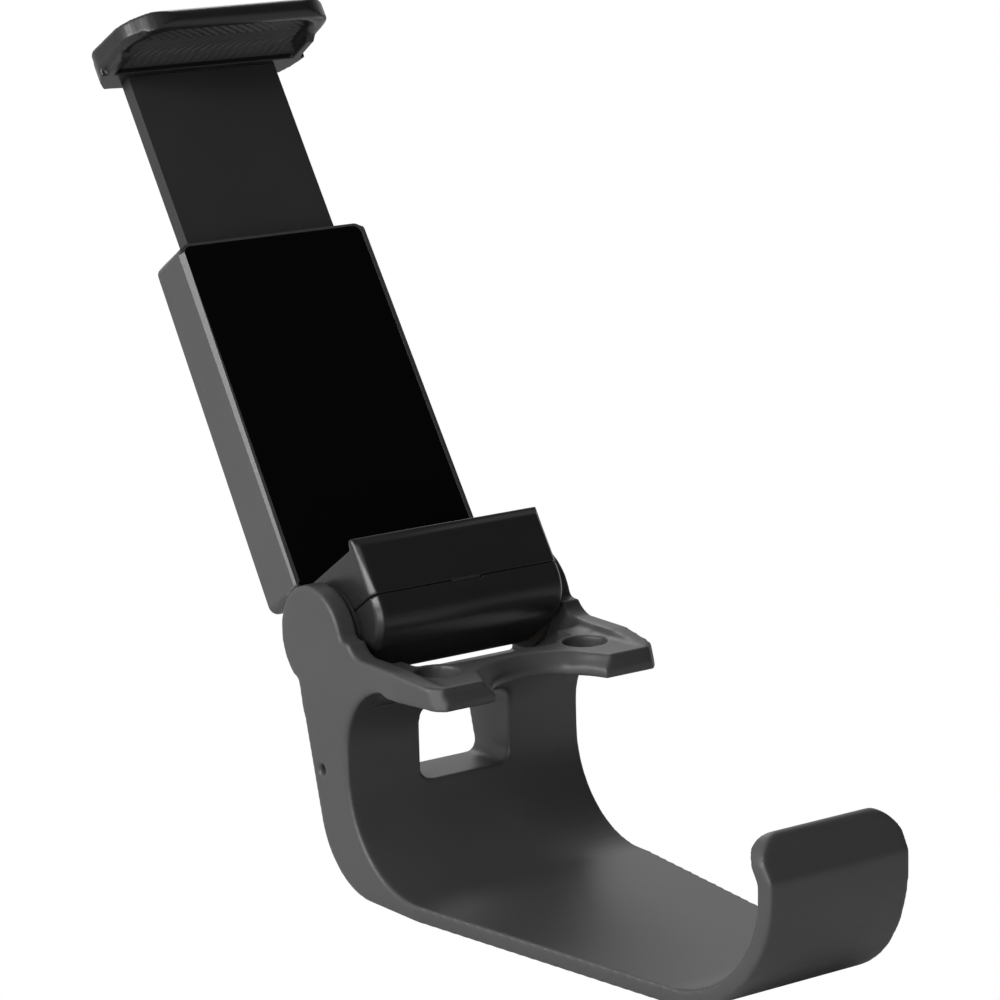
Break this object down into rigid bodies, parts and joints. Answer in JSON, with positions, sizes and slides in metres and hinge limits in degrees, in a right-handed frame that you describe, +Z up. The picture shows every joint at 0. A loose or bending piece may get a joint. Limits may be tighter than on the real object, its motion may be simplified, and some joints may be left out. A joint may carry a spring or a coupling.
{
  "type": "phone holder clip for a game controller",
  "caption": "Phone clamp with a sliding spring-braked arm on a friction hinge, carried by a C-shaped cradle that hooks round a game controller.",
  "frame": {"origin": "middle of the flat of the tray's upper face", "axes": "+X along the hinge, -Y to the player, where the tray ends in its lip, +Z up, square to the tray"},
  "size_m": [0.0426, 0.1606, 0.1271],
  "materials": {
    "cradle_abs": "satin moulded black ABS",
    "housing_abs": "satin moulded black ABS",
    "jaw_abs": "satin moulded black ABS",
    "arm_abs": "fine matt black ABS",
    "pad_rubber": "matt black rubber",
    "steel": "zinc plated steel",
    "dark_steel": "black oxide steel",
    "brass": "plain brass",
    "fibre": "dark friction fibre",
    "acetal": "natural acetal"
  },
  "bodies": {
    "cradle_body": {"cradle": "cradle_abs", "hinge_screw": "steel", "hinge_nut": "steel", "spring_washers": "steel", "friction_washers": "fibre", "hinge_cap": "cradle_abs"},
    "holder_body": {"housing": "housing_abs", "rear_cover": "housing_abs", "front_pad": "pad_rubber", "lower_jaw": "jaw_abs", "hinge_barrel": "jaw_abs", "lower_jaw_pad": "pad_rubber", "cover_screws": "dark_steel", "barrel_screws": "dark_steel", "hinge_bushes": "brass", "guide_rails": "acetal", "brake_spring": "steel", "brake_shoe": "acetal"},
    "arm_body": {"arm": "arm_abs", "stop_bar": "steel", "stop_screws": "steel", "top_jaw": "jaw_abs", "top_jaw_pad": "pad_rubber", "top_jaw_screws": "dark_steel"}
  },
  "joints": [
    {"name": "tilt", "type": "hinge", "parent": "cradle_body", "child": "holder_body", "pos_m": [0, 0.0503, 0.0348], "axis": [-1, 0, 0], "range_deg": [-25, 35]},
    {"name": "arm_slide", "type": "slide", "parent": "holder_body", "child": "arm_body", "axis": [0, -0.5446, -0.8387], "range_m": [0, 0.03]}
  ]
}
